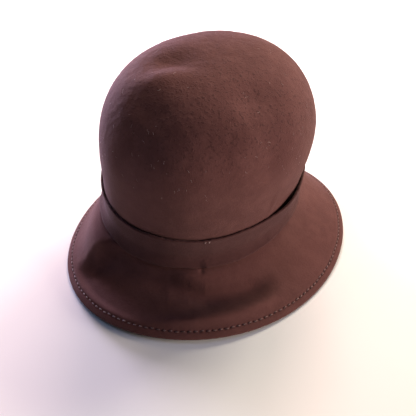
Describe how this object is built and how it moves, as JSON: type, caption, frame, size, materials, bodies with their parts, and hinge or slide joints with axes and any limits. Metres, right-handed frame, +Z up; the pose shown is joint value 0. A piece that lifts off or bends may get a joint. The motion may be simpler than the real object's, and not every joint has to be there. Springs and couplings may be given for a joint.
{
  "type": "felt bowler hat",
  "caption": "Soft wool-felt bowler hat with a tall rounded crown, a down-turned wavy brim, a felt band round the crown and a ribbon sweatband.",
  "frame": {"origin": "middle of the brim's oval outline, on the surface that the brim's rim stands on", "axes": "+Z up; the wearer faces -Y and has +X on the left; the oval's long axis runs along Y"},
  "size_m": [0.262, 0.307, 0.1973],
  "materials": {
    "crown_felt": "soft wool felt, dark maroon brown",
    "brim_felt": "soft wool felt, dark maroon brown",
    "band_felt": "soft wool felt strip with cut edges",
    "ribbon": "ribbed grosgrain ribbon",
    "label_cloth": "plain woven label, blank",
    "wire_steel": "drawn spring-steel wire",
    "joiner_steel": "crimped steel sleeve",
    "hem_thread": "twisted thread",
    "bobbin_thread": "twisted thread",
    "seam_thread": "twisted thread",
    "ribbon_thread": "twisted thread",
    "band_thread": "twisted thread",
    "tack_thread": "fine light thread",
    "label_thread": "fine thread"
  },
  "bodies": {
    "hat": {"crown": "crown_felt", "brim": "brim_felt", "hat_band": "band_felt", "sweatband": "ribbon", "brim_wire": "wire_steel", "wire_joiner": "joiner_steel", "brim_stitches_top": "hem_thread", "brim_stitches_under": "bobbin_thread", "head_seam_stitches": "seam_thread", "sweatband_stitches": "ribbon_thread", "band_join_stitches": "band_thread", "band_tacks": "tack_thread"},
    "label": {"size_label": "label_cloth", "label_stitches": "label_thread"}
  },
  "joints": [
    {"name": "label_swing", "type": "hinge", "parent": "hat", "child": "label", "pos_m": [-0.00637, 0.09719, 0.08498], "axis": [-0.9925, -0.0106, 0.1214], "range_deg": [-2, 120]}
  ]
}
